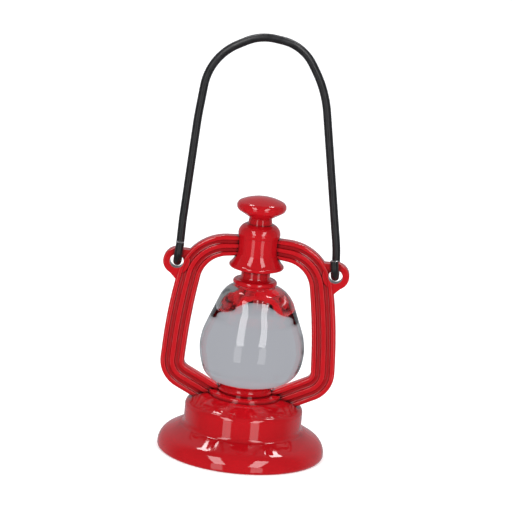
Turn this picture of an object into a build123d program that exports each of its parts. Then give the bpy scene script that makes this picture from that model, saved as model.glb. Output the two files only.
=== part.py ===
from build123d import *
import os
from math import atan2, cos, degrees, radians, sin

# Miniature hurricane lantern, about 1:12 scale. Millimetres, +Z up, the lamp's axis on Z.
# The origin is the centre of the flat underside of the foot. The ribbed frame lies in the XZ plane.

# ---- foot and tank (one hollow casting) ----
foot_radius = 8.86            # widest, at the rim it stands on
foot_rim_top = 1.90           # height where the rounded rim turns into the sloping flare
foot_flare_radius = 7.97      # radius at that crease
tank_radius = 6.26
tank_wall_bottom = 2.62       # height where the flare would meet the tank wall
tank_edge_height = 5.20       # height where the domed top would meet the wall
tank_top = 6.15               # flat land under the frame's lower hub
wall = 0.90                   # casting wall
plate_radius = 7.85
plate_thickness = 0.50

# ---- ribbed side frame ----
arm_width = 2.52              # at the sides
arm_width_bell = 2.02         # where the top bar enters the bell
arm_width_corner = 2.20       # where the top bar starts to turn down
arm_width_shoulder = 2.46     # where the turn runs into the side
arm_width_tank = 2.46         # at the tank
arm_thickness = 1.30          # over the ribs
arm_edge_rounding = 0.22
groove_depth = 0.24
groove_share = 0.19           # one groove's share of the arm's width
groove_pitch_share = 0.20      # a groove's middle from the arm's middle, as a share of the width
groove_bottom_rounding = 0.12
rib_edge_rounding = 0.09
bell_end = (0.80, 22.42)       # centre line where the top bar ends inside the bell
top_corner = (6.42, 21.93)    # centre-line corners of one half of the loop, before rounding
side_corner = (7.72, 14.77)
bottom_corner = (8.06, 8.13)
top_corner_radius = 4.15
side_bow_radius = 60.0
bottom_corner_radius = 2.00
lower_bar_slope = 26.5        # degrees below level, running in towards the tank
lower_run = 7.20
lower_hub_radius = 3.85
lower_hub_thickness = 0.40
upper_hub_radius = 1.45

# ---- ears and bail ----
ear_x = 8.38
ear_height = 20.02
ear_radius = 1.45
ear_thickness = 1.10
ear_hole_radius = 0.74
ear_edge_rounding = 0.15
ear_web_reach = 1.34          # distance of the web's straight lower edge from the ear's centre
ear_web_length = 1.60
ear_web_top = 21.34           # height of the web's upper edge
wire_diameter = 0.86
hook_radius = 1.20            # centre line of the hook's half turn round the ear's rim
bail_pivot_height = ear_height + (ear_radius + ear_hole_radius) / 2
left_tip_height = 22.35
right_tip_height = 21.95
hook_x = 8.33                 # the hooks hang just inside the middle of the holes
tip_lean = 0.23               # the short ends lean inwards by this much
wire_end_bevel = 0.08

# The bail is bent by hand, so its arch isn't symmetric: (x, z) corners of its centre line from
# the left ear over the top to the right ear, each with its bend radius.
bail_corners = [
    (-8.22, 24.00, 20.0),
    (-7.54, 35.20, 30.0),
    (-6.82, 41.80, 6.0),
    (-1.78, 44.47, 5.0),
    (2.76, 43.83, 4.6),
    (5.48, 39.30, 12.0),
    (8.18, 22.60, 15.0),
]

# ---- burner collar and globe ----
collar_radius = 2.92
collar_waist = 2.68
collar_height = 1.15
globe_seat_radius = 2.30
globe_seat_depth = 0.20
globe_top_boss_radius = 1.70
globe_bottom = 7.70
globe_top = 18.25
# outside of the globe between its two end faces: (radius, height)
globe_shoulders = [
    (4.30, 8.22),
    (5.10, 9.25),
    (5.53, 11.20),
    (5.06, 13.60),
    (4.38, 15.30),
    (3.62, 16.85),
    (2.92, 17.70),
]

# ---- chimney: globe cap, bell, dome and knob on one stud ----
cap_ring_radius = 2.33
cap_ring_thickness = 0.55
neck_radius = 1.53
bell_bottom = 19.85
bell_flange_radius = 2.89
bell_flange_height = 20.30
bell_radius = 2.15
bell_waist = 2.10
bell_top = 23.44
bell_bore_radius = 1.50
bell_floor = 21.20
notch_floor = 21.28           # the notches that the top bar drops into
dome_radius = 2.22
dome_top = 24.80
dome_top_radius = 1.40
knob_neck_radius = 1.20
knob_radius = 2.61
knob_widest_height = 26.67
knob_top = 27.70
knob_edge_arc = 0.57
knob_under_angle = 62.0       # where the edge arc ends under the head, degrees below level
stud_diameter = 0.96
stud_bottom = 18.60
stud_top = 26.50

# ---- fasteners under the tank roof ----
screw_diameter = 1.16
screw_head_radius = 1.10
screw_head_height = 0.70
screw_top = 7.25
slot_width = 0.30
slot_depth = 0.30
washer_radius = 1.35
washer_thickness = 0.15
fit = 0.02                    # radial clearance of pieces that slide together


def turned(outline):
    """A body of revolution from a closed outline in the XZ plane, radius along X."""
    return revolve(make_face(outline), Axis.Z)


def drum(radius, bottom, top):
    """A plain cylinder on the lamp's axis between two heights."""
    return Pos(0, 0, (bottom + top) / 2) * Cylinder(radius, top - bottom)


def point(radius, height):
    return (radius, 0, height)


def polyline(*points):
    return Polyline(*[point(*p) for p in points])


def arc(start, middle, end):
    return ThreePointArc(point(*start), point(*middle), point(*end))


def on_circle(centre, radius, angle):
    """The point of a circle at an angle in degrees from level."""
    return (centre[0] + radius * cos(radians(angle)), centre[1] + radius * sin(radians(angle)))


def tank_envelope():
    """The outside of the foot and tank as one filled body."""
    rim_low = (foot_radius, 0.30)
    rim_middle = (foot_radius - 0.23, 1.25)
    rim_high = (foot_flare_radius, foot_rim_top)
    flare_end = (tank_radius + 0.42, tank_wall_bottom + 0.02)
    wall_start = (tank_radius, tank_wall_bottom + 0.52)
    wall_end = (tank_radius, tank_edge_height - 0.55)
    dome_start = (tank_radius - 0.42, tank_edge_height + 0.10)
    dome_end = (lower_hub_radius + 0.02, tank_top)
    outline = [
        polyline((0, 0), (foot_radius - 0.24, 0)),
        arc((foot_radius - 0.24, 0), (foot_radius - 0.06, 0.09), rim_low),
        arc(rim_low, rim_middle, rim_high),
        polyline(rim_high, flare_end),
        arc(flare_end, (tank_radius + 0.12, tank_wall_bottom + 0.19), wall_start),
        polyline(wall_start, wall_end),
        arc(wall_end, (tank_radius - 0.11, tank_edge_height - 0.13), dome_start),
        arc(dome_start, (5.00, 5.80), dome_end),
        polyline(dome_end, (0, tank_top), (0, 0)),
    ]
    return turned(outline)


def tank_hollow():
    """The hollow beneath, with the seat for the base plate and the screw's hole in the roof."""
    roof = tank_top - wall + 0.10
    inner_radius = tank_radius - wall
    outline = polyline(
        (0, -1), (plate_radius + fit, -1), (plate_radius + fit, plate_thickness),
        (plate_radius - 0.35, plate_thickness), (plate_radius - 0.60, 1.25),
        (inner_radius + 0.30, 2.30), (inner_radius, 2.70), (inner_radius, 4.70),
        (inner_radius - 0.50, roof - 0.15), (inner_radius - 1.00, roof), (0, roof), (0, -1),
    )
    return turned(outline) + drum(screw_diameter / 2 + fit, 0, tank_top + 1)


def base_casting():
    return tank_envelope() - tank_hollow()


def base_plate():
    disc = drum(plate_radius, 0, plate_thickness)
    return chamfer(disc.edges(), 0.08)


def rib_section(width):
    """The arm's section: two grooves in both faces leave three ribs. Local X is the width."""
    face = arm_thickness / 2
    section = RectangleRounded(width, arm_thickness, arm_edge_rounding)
    groove = RectangleRounded(width * groove_share, 2 * groove_depth, groove_bottom_rounding)
    for side in (-1, 1):
        for step in (-1, 1):
            section -= Pos(step * width * groove_pitch_share, side * face) * groove
    rims = [v for v in section.vertices()
            if abs(abs(v.Y) - face) < 0.001 and abs(v.X) < width / 2 - arm_edge_rounding - 0.01]
    return fillet(rims, rib_edge_rounding)


def loop_path():
    """Centre line of the loop's right half: its path and its straight and curved runs in order."""
    lower_end = on_circle(bottom_corner, lower_run, 180 + lower_bar_slope)
    route = [bell_end, top_corner, side_corner, bottom_corner, lower_end]
    path = FilletPolyline(*[(x, 0, z) for x, z in route],
                          radius=[top_corner_radius, side_bow_radius, bottom_corner_radius])
    return path, path.edges().sort_by(lambda e: path.param_at_point(e.center()))


def half_loop():
    """The right half of the loop: bell end, corner, bowed side and lower bar, in varying width."""
    path, runs = loop_path()
    stations = [(runs[0], 0, arm_width_bell),
                (runs[1], 0, arm_width_corner),
                (runs[3], 0, arm_width_shoulder),
                (runs[4], 1, arm_width),
                (runs[-1], 1, arm_width_tank)]
    sections = []
    for run, end, width in stations:
        along = run.tangent_at(end)
        plane = Plane(origin=run.position_at(end), x_dir=Vector(0, 1, 0).cross(along), z_dir=along)
        sections.append(plane * rib_section(width))
    return sweep(sections, path=path, multisection=True)


def ear():
    """The right ear with its web, which runs into the arm's outer rib."""
    disc = Pos(ear_x, 0, ear_height) * Rot(90, 0, 0) * Cylinder(ear_radius, ear_thickness)
    disc = fillet(disc.edges().filter_by(GeomType.CIRCLE), ear_edge_rounding)
    low = on_circle((ear_x, ear_height), ear_web_reach, -45)
    low_end = on_circle(low, ear_web_length, -135)
    web = Polygon(low, low_end, (7.00, 19.00), (6.40, ear_web_top), (ear_x - 0.45, ear_web_top),
                  (ear_x, ear_height), align=None)
    bend = loop_path()[1][1].arc_center
    web -= Pos(bend.X, bend.Z) * Circle(top_corner_radius + 0.40 * arm_width_shoulder)
    return disc + extrude(Plane.XZ * web, ear_thickness / 2, both=True)


def ear_hole():
    return Pos(ear_x, 0, ear_height) * Rot(90, 0, 0) * Cylinder(ear_hole_radius, 4)


def side_frame():
    half = half_loop() + ear() - ear_hole()
    loop = half + mirror(half, about=Plane.YZ)
    lower_hub = drum(lower_hub_radius, tank_top, tank_top + lower_hub_thickness)
    lower_hub = fillet(lower_hub.edges().group_by(Axis.Z)[-1], 0.15)
    upper_hub = drum(upper_hub_radius, bell_floor + 0.10, bell_top - 0.02)
    hub_top = tank_top + lower_hub_thickness
    frame = loop + lower_hub + upper_hub
    frame -= tank_envelope()
    frame -= drum(collar_radius + fit, hub_top, hub_top + 6)
    frame -= drum(screw_diameter / 2 + fit, 0, hub_top + 1)
    frame -= drum(stud_diameter / 2 + fit, bell_floor - 1, bell_top + 1)
    return frame


def burner_collar():
    bottom = tank_top + lower_hub_thickness
    top = bottom + collar_height
    outline = [
        polyline((0, bottom), (collar_radius, bottom), (collar_radius, bottom + 0.20)),
        arc((collar_radius, bottom + 0.20), (collar_waist, (bottom + top) / 2),
            (collar_radius, top - 0.20)),
        polyline((collar_radius, top - 0.20), (collar_radius, top), (globe_seat_radius + fit, top),
                 (globe_seat_radius + fit, top - globe_seat_depth), (0, top - globe_seat_depth),
                 (0, bottom)),
    ]
    return turned(outline) - drum(screw_diameter / 2 + fit, bottom - 1, screw_top + 0.05)


def globe():
    bottom_edge = (3.10, globe_bottom)
    top_edge = (2.05, globe_top - 0.03)
    side = Spline(*[point(*p) for p in [bottom_edge] + globe_shoulders + [top_edge]])
    outline = [
        polyline((0, globe_bottom - globe_seat_depth),
                 (globe_seat_radius, globe_bottom - globe_seat_depth),
                 (globe_seat_radius, globe_bottom), bottom_edge),
        side,
        polyline(top_edge, (globe_top_boss_radius, globe_top - 0.03),
                 (globe_top_boss_radius, globe_top + globe_seat_depth - 0.02),
                 (0, globe_top + globe_seat_depth - 0.02), (0, globe_bottom - globe_seat_depth)),
    ]
    return turned(outline)


def globe_cap():
    ring_top = globe_top + cap_ring_thickness
    neck_start = (neck_radius, ring_top + 0.30)
    outline = [
        polyline((0, globe_top + globe_seat_depth),
                 (globe_top_boss_radius + fit, globe_top + globe_seat_depth),
                 (globe_top_boss_radius + fit, globe_top), (cap_ring_radius - 0.20, globe_top)),
        arc((cap_ring_radius - 0.20, globe_top), (cap_ring_radius, globe_top + 0.27),
            (cap_ring_radius - 0.22, ring_top)),
        arc((cap_ring_radius - 0.22, ring_top), (neck_radius + 0.14, ring_top + 0.08), neck_start),
        polyline(neck_start, (neck_radius, bell_bottom), (0, bell_bottom),
                 (0, globe_top + globe_seat_depth)),
    ]
    return turned(outline) - drum(stud_diameter / 2 + fit, stud_bottom - 0.05, bell_bottom + 1)


def chimney_bell():
    rim_low = (bell_flange_radius - 0.24, bell_flange_height - 0.22)
    rim_high = (bell_flange_radius - 0.12, bell_flange_height + 0.20)
    flare_top = (bell_radius, bell_flange_height + 1.30)
    bell_lip = (bell_radius, bell_top)
    outline = [
        polyline((0, bell_bottom), (neck_radius + 0.10, bell_bottom)),
        arc((neck_radius + 0.10, bell_bottom), (2.25, bell_bottom + 0.09), rim_low),
        arc(rim_low, (bell_flange_radius, bell_flange_height), rim_high),
        arc(rim_high, (bell_radius + 0.25, bell_flange_height + 0.72), flare_top),
        arc(flare_top, (bell_waist, (flare_top[1] + bell_top) / 2), bell_lip),
        polyline(bell_lip, (0, bell_top), (0, bell_bottom)),
    ]
    bell = turned(outline)
    bell -= drum(bell_bore_radius, bell_floor, bell_top + 1)
    bell -= drum(stud_diameter / 2 + fit, bell_bottom - 1, bell_floor + 1)
    notch_height = bell_top - notch_floor + 1
    notch = Box(4 * bell_radius, arm_thickness + 2 * fit, notch_height)
    return bell - Pos(0, 0, notch_floor + notch_height / 2) * notch


def chimney_dome():
    outline = [
        polyline((0, bell_top), (bell_radius + 0.03, bell_top), (dome_radius, bell_top + 0.30)),
        arc((dome_radius, bell_top + 0.30), (2.00, bell_top + 0.96), (dome_top_radius, dome_top)),
        polyline((dome_top_radius, dome_top), (0, dome_top), (0, bell_top)),
    ]
    return turned(outline) - drum(stud_diameter / 2 + fit, bell_top - 1, dome_top + 1)


def top_knob():
    """Lens-shaped head: a small edge arc runs tangent into the flat arc over the top."""
    centre = (knob_radius - knob_edge_arc, knob_widest_height)
    rise = knob_top - knob_widest_height
    top_arc = ((centre[0] ** 2 + rise ** 2 - knob_edge_arc ** 2) / (2 * (rise - knob_edge_arc)))
    low_centre = knob_top - top_arc
    join_angle = degrees(atan2(centre[1] - low_centre, centre[0]))
    join = on_circle(centre, knob_edge_arc, join_angle)
    low_edge = on_circle(centre, knob_edge_arc, -knob_under_angle)
    neck_end = (knob_neck_radius, 25.40)
    under = (knob_neck_radius + 0.32, 25.69)
    outline = [
        polyline((0, dome_top), (knob_neck_radius + 0.08, dome_top), neck_end),
        arc(neck_end, (knob_neck_radius + 0.09, 25.58), under),
        polyline(under, low_edge),
        arc(low_edge, (knob_radius, knob_widest_height), join),
        arc(join, on_circle((0, low_centre), top_arc, (join_angle + 90) / 2), (0, knob_top)),
        polyline((0, knob_top), (0, dome_top)),
    ]
    return turned(outline) - drum(stud_diameter / 2 + fit, dome_top - 1, stud_top + 0.05)


def top_stud():
    stud = drum(stud_diameter / 2, stud_bottom, stud_top)
    return chamfer(stud.edges(), 0.10)


def lock_washer():
    roof = tank_top - wall + 0.10
    ring = drum(washer_radius, roof - washer_thickness, roof)
    split = Pos(washer_radius, 0, roof) * Box(washer_radius, 0.12, 2)
    return ring - drum(screw_diameter / 2 + 0.06, 0, roof + 1) - split


def centre_screw():
    head_top = tank_top - wall + 0.10 - washer_thickness
    head = drum(screw_head_radius, head_top - screw_head_height, head_top)
    head = fillet(head.edges().group_by(Axis.Z)[0], 0.25)
    slot = Pos(0, 0, head_top - screw_head_height) * Box(4, slot_width, 2 * slot_depth)
    shank = drum(screw_diameter / 2, head_top, screw_top)
    shank = chamfer(shank.edges().group_by(Axis.Z)[-1], 0.12)
    return head + shank - slot


def bail():
    """The wire: short end in front of the left ear, back through its hole, over and down again."""
    low = bail_pivot_height - hook_radius
    left_x, right_x = -hook_x, hook_x
    back, front = hook_radius, -hook_radius
    corners = [
        (left_x + tip_lean, front, left_tip_height),
        (left_x, front, low),
        (left_x, back, low),
        *[(x, back, z) for x, z, bend in bail_corners],
        (right_x, back, low),
        (right_x, front, low),
        (right_x - tip_lean, front, right_tip_height),
    ]
    hook = [hook_radius * 0.999] * 2
    radii = hook + [bend for x, z, bend in bail_corners] + hook
    route = FilletPolyline(*corners, radius=radii)
    start = Plane(origin=route @ 0, z_dir=route % 0)
    wire = sweep(start * Circle(wire_diameter / 2), path=route)
    ends = [e for e in wire.edges().filter_by(GeomType.CIRCLE)
            if min((e.arc_center - route @ 0).length, (e.arc_center - route @ 1).length) < 0.01]
    return chamfer(ends, wire_end_bevel)


pieces = {
    "base_casting": base_casting,
    "base_plate": base_plate,
    "centre_screw": centre_screw,
    "lock_washer": lock_washer,
    "side_frame": side_frame,
    "burner_collar": burner_collar,
    "globe": globe,
    "globe_cap": globe_cap,
    "chimney_bell": chimney_bell,
    "chimney_dome": chimney_dome,
    "top_knob": top_knob,
    "top_stud": top_stud,
    "bail": bail,
}

os.makedirs("parts", exist_ok=True)
for name, make in pieces.items():
    export_step(make(), "parts/%s.step" % name)
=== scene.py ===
import math

import bpy
import numpy as np
from mathutils import Matrix, Vector, noise


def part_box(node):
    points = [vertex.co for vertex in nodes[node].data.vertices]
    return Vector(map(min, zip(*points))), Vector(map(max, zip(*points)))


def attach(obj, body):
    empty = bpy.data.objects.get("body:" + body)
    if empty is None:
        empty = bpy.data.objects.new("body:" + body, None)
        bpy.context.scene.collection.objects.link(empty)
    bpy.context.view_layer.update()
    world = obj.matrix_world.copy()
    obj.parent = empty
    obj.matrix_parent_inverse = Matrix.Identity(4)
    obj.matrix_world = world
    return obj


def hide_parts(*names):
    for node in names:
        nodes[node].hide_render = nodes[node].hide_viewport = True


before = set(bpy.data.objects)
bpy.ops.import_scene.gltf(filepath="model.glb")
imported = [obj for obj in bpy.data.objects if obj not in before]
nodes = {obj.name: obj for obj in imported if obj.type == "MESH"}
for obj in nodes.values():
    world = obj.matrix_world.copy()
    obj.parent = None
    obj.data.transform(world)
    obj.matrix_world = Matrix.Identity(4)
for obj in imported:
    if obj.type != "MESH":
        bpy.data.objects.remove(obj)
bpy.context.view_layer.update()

MM = 0.001

# ---- camera: where the lamp is seen from ----
VIEW_AZIMUTH = 2.3          # degrees round from straight ahead
VIEW_ELEVATION = 13.7
VIEW_ROLL = 5.15            # the lamp leans this much clockwise in the view
VIEW_DISTANCE = 325.5 * MM
VIEW_FIELD = 9.44           # degrees across the square view
VIEW_SENSOR = 36
VIEW_NEAR, VIEW_FAR = 0.01, 20
AIM_HEIGHT = 21.29 * MM
AIM_SIDE = -0.142 * MM

# ---- soft boxes, a left and a right one of each: places are azimuth and elevation in degrees,
# sizes are width and height in metres ----
LIGHT_DISTANCE = 0.5
LIGHT_AIM_HEIGHT = 12 * MM
LOW_PLACE, LOW_SIZE, LOW_BRIGHTNESS = (27, -7), (0.14, 0.28), 2.2
FRONT_PLACE, FRONT_SIZE, FRONT_BRIGHTNESS = (32, 33), (0.14, 0.42), 6.5
FRONT_LEAN = 24             # degrees by which the tops of the front boxes lean outwards
TOP_DIRECTION = (0.32, 0.30, 0.86)      # over the lamp and behind it
TOP_SIZE, TOP_BRIGHTNESS = (0.20, 0.08), 14.0

# ---- studio ----
WORLD_FRONT = (0.17, 0.17, 0.17)
WORLD_BACK = (0.43, 0.44, 0.475)
WORLD_BLEND = (0.0, 0.45)   # the change from front to back, along Y of the direction
FLOOR_REACH = 3.0
FLOOR_STEPS = 24
FLOOR_DROP = 0.02 * MM      # the floor lies this far under the foot
FLOOR_GLOW = 0.35

# ---- globe: solid clear acrylic, moulded a little lumpy and glued a little off the axis ----
GLOBE_OFFSET = 0.30 * MM
GLOBE_OFFSET_RISE = 1.4     # how soon the offset is reached from either end of the belly
GLOBE_FREE = (0.20, 10.70)  # the belly, free to be off centre, in mm over the globe's bottom
GLOBE_LUMPS = ((190, 0.08, (0, 0, 0)), (420, 0.02, (3, 1, 7)))   # lumps per metre, mm high, shift
GLOBE_TURNS = 192
BELLY_STEPS = 8             # steps of the curve between two points of the belly

# ---- wire ends ----
HOOK_FRONT = -0.5 * MM      # the short ends are in front of this
CUT_DEPTH = 0.14 * MM       # bright metal shows this far down from the tip
CUT_FACING = 0.4            # and only where the surface faces up this much


def aim(thing, back, roll=0.0):
    """Turns a camera or light so that it looks along -back, rolled about that line."""
    right = Vector((0, 0, 1)).cross(back).normalized()
    up = back.cross(right)
    turned_right = right * math.cos(roll) + up * math.sin(roll)
    turned_up = up * math.cos(roll) - right * math.sin(roll)
    turn = Matrix((turned_right, turned_up, back)).transposed()
    thing.matrix_world = Matrix.Translation(thing.location) @ turn.to_4x4()


def direction(azimuth, elevation):
    """Unit vector from the lamp towards a place round it; azimuth 0 is straight in front."""
    a, e = math.radians(azimuth), math.radians(elevation)
    return Vector((math.sin(a) * math.cos(e), -math.cos(a) * math.cos(e), math.sin(e)))


def make_camera():
    data = bpy.data.cameras.new("view")
    data.sensor_width = VIEW_SENSOR
    data.lens = data.sensor_width / 2 / math.tan(math.radians(VIEW_FIELD) / 2)
    data.clip_start, data.clip_end = VIEW_NEAR, VIEW_FAR
    camera = bpy.data.objects.new("view", data)
    bpy.context.scene.collection.objects.link(camera)
    back = direction(VIEW_AZIMUTH, VIEW_ELEVATION)
    side = Vector((0, 0, 1)).cross(back).normalized()
    camera.location = Vector((0, 0, AIM_HEIGHT)) + side * AIM_SIDE + back * VIEW_DISTANCE
    aim(camera, back, math.radians(VIEW_ROLL))
    bpy.context.scene.camera = camera


def soft_box(name, where, size, brightness, roll=0.0):
    """A rectangular soft light that faces the lamp and isn't seen through the globe."""
    width, height = size
    data = bpy.data.lights.new(name, "AREA")
    data.shape = "RECTANGLE"
    data.size, data.size_y = width, height
    data.energy = brightness * math.pi * width * height
    light = bpy.data.objects.new(name, data)
    bpy.context.scene.collection.objects.link(light)
    light.location = Vector((0, 0, LIGHT_AIM_HEIGHT)) + where * LIGHT_DISTANCE
    aim(light, where, roll)
    light.visible_transmission = False


def make_lights():
    """On each side a low and a high box in front, and one over and behind the lamp."""
    for side, name in ((-1, "left"), (1, "right")):
        azimuth, elevation = LOW_PLACE
        soft_box("low_box_" + name, direction(side * azimuth, elevation), LOW_SIZE, LOW_BRIGHTNESS)
        azimuth, elevation = FRONT_PLACE
        soft_box("front_box_" + name, direction(side * azimuth, elevation), FRONT_SIZE,
                 FRONT_BRIGHTNESS, math.radians(-side * FRONT_LEAN))
        x, y, z = TOP_DIRECTION
        soft_box("top_box_" + name, Vector((side * x, y, z)).normalized(), TOP_SIZE, TOP_BRIGHTNESS)


class Graph:
    """Short hand for building a node tree."""

    def __init__(self, tree):
        self.tree = tree

    def add(self, kind):
        return self.tree.nodes.new(kind)

    def link(self, source, target):
        self.tree.links.new(source, target)

    def noise(self, coordinates, scale, detail=2.0, rough=0.5):
        """Noise with features about 1 / scale metres across."""
        node = self.add("ShaderNodeTexNoise")
        node.inputs["Scale"].default_value = scale
        node.inputs["Detail"].default_value = detail
        node.inputs["Roughness"].default_value = rough
        self.link(coordinates, node.inputs["Vector"])
        return node.outputs["Fac"]

    def spread(self, value, source, target=(0, 1)):
        """Maps value from the range source to the range target, clamped."""
        node = self.add("ShaderNodeMapRange")
        node.inputs["From Min"].default_value, node.inputs["From Max"].default_value = source
        node.inputs["To Min"].default_value, node.inputs["To Max"].default_value = target
        self.link(value, node.inputs["Value"])
        return node.outputs["Result"]

    def mix(self, share, first, second):
        """Colour between two colours or sockets."""
        node = self.add("ShaderNodeMix")
        node.data_type = "RGBA"
        for socket, value in ((node.inputs[6], first), (node.inputs[7], second)):
            if isinstance(value, tuple):
                socket.default_value = (*value, 1.0)
            else:
                self.link(value, socket)
        self.link(share, node.inputs[0])
        return node.outputs[2]

    def bump(self, height, strength, distance, normal=None):
        node = self.add("ShaderNodeBump")
        node.inputs["Strength"].default_value = strength
        node.inputs["Distance"].default_value = distance
        self.link(height, node.inputs["Height"])
        if normal is not None:
            self.link(normal, node.inputs["Normal"])
        return node.outputs["Normal"]


def new_material(name):
    """A material with its shader, its graph helper and the object's own coordinates."""
    material = bpy.data.materials.new(name)
    material.use_nodes = True
    graph = Graph(material.node_tree)
    shader = material.node_tree.nodes["Principled BSDF"]
    place = graph.add("ShaderNodeTexCoord").outputs["Object"]
    return material, graph, shader, place


def red_enamel():
    """Thick gloss red enamel over a zinc casting, with pale specks and painted shade darkening its
    crevices and grooves.
    """
    deep_red, bright_red = (0.360, 0.0030, 0.0066), (0.410, 0.0042, 0.0084)
    # the second colour on this line is painted shade: a very dark red laid into grooves and crevices,
    # within the reach given below
    speck_red, painted_shade_red = (0.62, 0.10, 0.10), (0.055, 0.0008, 0.0014)
    painted_shade_reach = 0.5 * MM
    material, graph, shader, place = new_material("red_enamel")
    cloud = graph.noise(place, scale=260, detail=3.0)
    colour = graph.mix(graph.spread(cloud, (0.3, 0.7)), deep_red, bright_red)
    speck = graph.noise(place, scale=5200, detail=1.0)
    colour = graph.mix(graph.spread(speck, (0.80, 0.86), (0, 0.35)), colour, speck_red)
    # painted shade: an ambient occlusion node turns the enamel towards the very dark red in grooves,
    # crevices and between parts
    painted_shade = graph.add("ShaderNodeAmbientOcclusion")
    painted_shade.inputs["Distance"].default_value = painted_shade_reach
    colour = graph.mix(graph.spread(painted_shade.outputs["AO"], (0.45, 0.92)), painted_shade_red, colour)
    graph.link(colour, shader.inputs["Base Color"])
    smear = graph.noise(place, scale=900, detail=3.0)
    graph.link(graph.spread(smear, (0.3, 0.7), (0.030, 0.075)), shader.inputs["Roughness"])
    shader.inputs["IOR"].default_value = 1.5
    waves = graph.bump(graph.noise(place, scale=620), strength=0.02, distance=0.00003)
    peel = graph.bump(graph.noise(place, scale=3200), strength=0.04, distance=0.00001, normal=waves)
    graph.link(peel, shader.inputs["Normal"])
    return material


def plate_zinc():
    """Bare cast and tumbled zinc."""
    dull, clean = (0.36, 0.37, 0.38), (0.56, 0.57, 0.58)
    material, graph, shader, place = new_material("plate_zinc")
    cloud = graph.noise(place, scale=700, detail=5.0, rough=0.6)
    graph.link(graph.mix(cloud, dull, clean), shader.inputs["Base Color"])
    graph.link(graph.spread(cloud, (0.3, 0.7), (0.32, 0.52)), shader.inputs["Roughness"])
    shader.inputs["Metallic"].default_value = 1.0
    grit = graph.bump(graph.noise(place, scale=2600, detail=4.0), strength=0.35, distance=0.00003)
    graph.link(grit, shader.inputs["Normal"])
    return material


def bright_steel(name, rough):
    """Bare steel with a fine grain."""
    dull, clean = (0.46, 0.46, 0.47), (0.66, 0.66, 0.67)
    material, graph, shader, place = new_material(name)
    cloud = graph.noise(place, scale=1800, detail=4.0)
    graph.link(graph.mix(cloud, dull, clean), shader.inputs["Base Color"])
    graph.link(graph.spread(cloud, (0.3, 0.7), (rough, rough + 0.14)), shader.inputs["Roughness"])
    shader.inputs["Metallic"].default_value = 1.0
    grain = graph.bump(graph.noise(place, scale=7000, detail=3.0), strength=0.25, distance=0.00001)
    graph.link(grain, shader.inputs["Normal"])
    return material


def clear_acrylic():
    """Solid clear acrylic, with faint moulding waves."""
    material, graph, shader, place = new_material("clear_acrylic")
    shader.inputs["Base Color"].default_value = (0.97, 0.97, 0.98, 1)
    shader.inputs["Transmission Weight"].default_value = 1.0
    shader.inputs["IOR"].default_value = 1.49
    haze = graph.noise(place, scale=500, detail=3.0)
    graph.link(graph.spread(haze, (0.45, 0.75), (0.0, 0.05)), shader.inputs["Roughness"])
    waves = graph.bump(graph.noise(place, scale=420), strength=0.10, distance=0.00006)
    graph.link(waves, shader.inputs["Normal"])
    return material


def black_wire():
    """Satin black enamel on drawn steel wire, with fine lines along its height."""
    deep, worn = (0.004, 0.004, 0.005), (0.008, 0.008, 0.010)
    drawn_out = (1, 1, 0.12)
    material, graph, shader, place = new_material("black_wire")
    cloud = graph.noise(place, scale=1500, detail=4.0)
    graph.link(graph.mix(graph.spread(cloud, (0.35, 0.7)), deep, worn), shader.inputs["Base Color"])
    graph.link(graph.spread(cloud, (0.3, 0.7), (0.30, 0.46)), shader.inputs["Roughness"])
    stretch = graph.add("ShaderNodeMapping")
    stretch.inputs["Scale"].default_value = drawn_out
    graph.link(place, stretch.inputs["Vector"])
    lines = graph.noise(stretch.outputs["Vector"], scale=6000, detail=3.0)
    graph.link(graph.bump(lines, strength=0.35, distance=0.00002), shader.inputs["Normal"])
    return material


def floor_paper():
    """White paper with a faint glow of its own."""
    dim, pale = (0.86, 0.86, 0.86), (0.88, 0.88, 0.88)
    material, graph, shader, place = new_material("floor_paper")
    cloud = graph.noise(place, scale=40, detail=3.0)
    graph.link(graph.mix(cloud, dim, pale), shader.inputs["Base Color"])
    shader.inputs["Roughness"].default_value = 0.9
    shader.inputs["Specular IOR Level"].default_value = 0.0
    shader.inputs["Emission Color"].default_value = (1, 1, 1, 1)
    shader.inputs["Emission Strength"].default_value = FLOOR_GLOW
    return material


def mesh_object(name, points, faces):
    """A smooth-shaded mesh object from points and faces."""
    mesh = bpy.data.meshes.new(name)
    mesh.from_pydata([tuple(p) for p in points], [], faces)
    mesh.validate()
    mesh.polygons.foreach_set("use_smooth", [True] * len(mesh.polygons))
    made = bpy.data.objects.new(name, mesh)
    bpy.context.scene.collection.objects.link(made)
    return made


def make_floor():
    """A wide sheet that isn't mirrored in the lamp or seen through its globe."""
    row = FLOOR_STEPS + 1
    places = [FLOOR_REACH * (2 * i / FLOOR_STEPS - 1) for i in range(row)]
    points = [(x, y, 0) for y in places for x in places]
    faces = [(j * row + i, j * row + i + 1, (j + 1) * row + i + 1, (j + 1) * row + i)
             for j in range(FLOOR_STEPS) for i in range(FLOOR_STEPS)]
    floor = mesh_object("floor", points, faces)
    floor.location.z = -FLOOR_DROP
    floor.data.materials.append(floor_paper())
    floor.visible_glossy = False
    floor.visible_transmission = False
    floor.visible_shadow = False


def make_world():
    """A studio that is dim in front of the lamp and lighter behind it."""
    world = bpy.data.worlds.new("studio")
    world.use_nodes = True
    bpy.context.scene.world = world
    graph = Graph(world.node_tree)
    background = world.node_tree.nodes["Background"]
    parts = graph.add("ShaderNodeSeparateXYZ")
    graph.link(graph.add("ShaderNodeTexCoord").outputs["Generated"], parts.inputs[0])
    behind = graph.spread(parts.outputs["Y"], WORLD_BLEND)
    graph.link(graph.mix(behind, WORLD_FRONT, WORLD_BACK), background.inputs["Color"])


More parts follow.
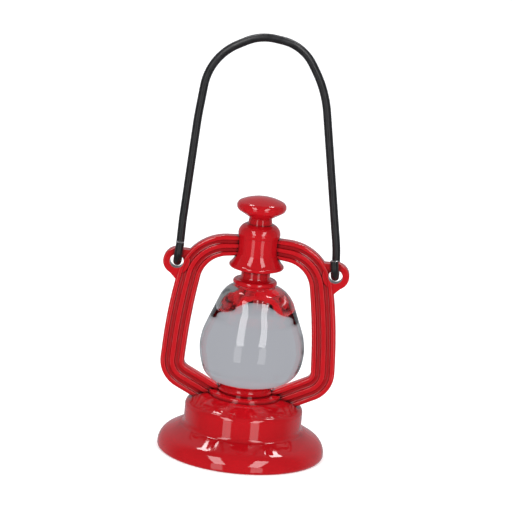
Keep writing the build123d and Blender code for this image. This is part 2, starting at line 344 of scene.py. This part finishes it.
def globe_profile(bottom):
    """Outside of the globe, as (radius, height) in metres: lower land, belly and upper land."""
    lower_land = [(0.0, 0.02), (2.28, 0.02), (2.28, 0.18)]
    belly = [(3.05, 0.20), (3.85, 0.36), (4.45, 0.72), (4.95, 1.30), (5.25, 2.00), (5.45, 2.80),
             (5.55, 3.75), (5.48, 4.50), (5.32, 5.35), (5.03, 6.20), (4.69, 7.10), (4.36, 7.95),
             (4.04, 8.80), (3.80, 9.30), (3.50, 9.75), (3.05, 10.20), (2.40, 10.58), (1.90, 10.72)]
    upper_land = [(1.66, 10.74), (1.66, 10.90), (0.0, 10.90)]
    return [[(r * MM, bottom + h * MM) for r, h in stretch] for stretch in (lower_land, belly, upper_land)]


def smooth_through(points, steps):
    """Points along a Catmull-Rom curve through the given ones."""
    padded = [points[0]] + points + [points[-1]]
    out = []
    for i in range(1, len(padded) - 2):
        p0, p1, p2, p3 = (np.array(p, float) for p in padded[i - 1:i + 3])
        for s in range(steps):
            t = s / steps
            out.append(0.5 * ((2 * p1) + (-p0 + p2) * t + (2 * p0 - 5 * p1 + 4 * p2 - p3) * t * t
                              + (-p0 + 3 * p1 - 3 * p2 + p3) * t ** 3))
    out.append(np.array(points[-1], float))
    return out


def lumpy_ring(r, z, freedom):
    """One turn of the globe's surface; freedom is 0 where it is held and 1 where it is free."""
    offset = GLOBE_OFFSET * min(1.0, freedom * GLOBE_OFFSET_RISE)
    points = []
    for i in range(GLOBE_TURNS):
        a = 2 * math.pi * i / GLOBE_TURNS
        outwards = Vector((math.cos(a), math.sin(a), 0))
        p = outwards * r + Vector((0, 0, z))
        lump = sum(noise.noise(p * scale + Vector(shift)) * high for scale, high, shift in GLOBE_LUMPS)
        points.append(outwards * (r + freedom * lump * MM) + Vector((offset, 0, z)))
    return points


def make_globe():
    """The clear globe: a ring for each point of its outline, and a fan over each end."""
    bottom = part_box("globe")[0][2]
    lower_land, belly, upper_land = globe_profile(bottom)
    line = lower_land + [tuple(p) for p in smooth_through(belly, BELLY_STEPS)] + upper_land
    belly_low, belly_high = (bottom + h * MM for h in GLOBE_FREE)
    points, faces = [], []
    for r, z in line[1:-1]:
        share = (z - belly_low) / (belly_high - belly_low)
        freedom = math.sin(math.pi * share) ** 0.5 if 0 < share < 1 else 0.0
        points += lumpy_ring(r, z, freedom)
    last = len(points) - GLOBE_TURNS
    for start in range(0, last, GLOBE_TURNS):
        above = start + GLOBE_TURNS
        for i in range(GLOBE_TURNS):
            k = (i + 1) % GLOBE_TURNS
            faces.append((start + i, start + k, above + k, above + i))
    under, over = len(points), len(points) + 1
    points += [Vector((0, 0, line[0][1])), Vector((0, 0, line[-1][1]))]
    for i in range(GLOBE_TURNS):
        k = (i + 1) % GLOBE_TURNS
        faces.append((under, k, i))
        faces.append((over, last + i, last + k))
    globe = mesh_object("clear_globe", points, faces)
    globe.data.materials.append(clear_acrylic())
    globe.visible_shadow = False    # light reaches the enamel under and over the clear globe
    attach(globe, "lamp")
    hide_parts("globe")


def finish_node(name, material):
    """Gives a CAD node its material."""
    node = nodes[name]
    node.data.materials.clear()
    node.data.materials.append(material)


def show_cut_ends(wire, material):
    """The wire was cut after it was coated, so its two short ends are bright metal."""
    mesh = wire.data
    mesh.materials.append(material)
    for side in (-1, 1):
        short = [v.co for v in mesh.vertices if v.co.x * side > 0 and v.co.y < HOOK_FRONT]
        cut = max(co.z for co in short) - CUT_DEPTH
        for face in mesh.polygons:
            x, y, z = face.center
            on_short_end = x * side > 0 and y < HOOK_FRONT
            if on_short_end and z > cut and face.normal.z > CUT_FACING:
                face.material_index = 1


enamel = red_enamel()
for name in ("base_casting", "side_frame", "burner_collar", "globe_cap", "chimney_bell",
             "chimney_dome", "top_knob"):
    finish_node(name, enamel)
finish_node("base_plate", plate_zinc())
steel = bright_steel("screw_steel", 0.22)
for name in ("centre_screw", "lock_washer", "top_stud"):
    finish_node(name, steel)
finish_node("bail", black_wire())
show_cut_ends(nodes["bail"], bright_steel("cut_steel", 0.12))
make_globe()

make_floor()
make_world()
make_lights()
bpy.context.scene.view_settings.view_transform = "Standard"
make_camera()
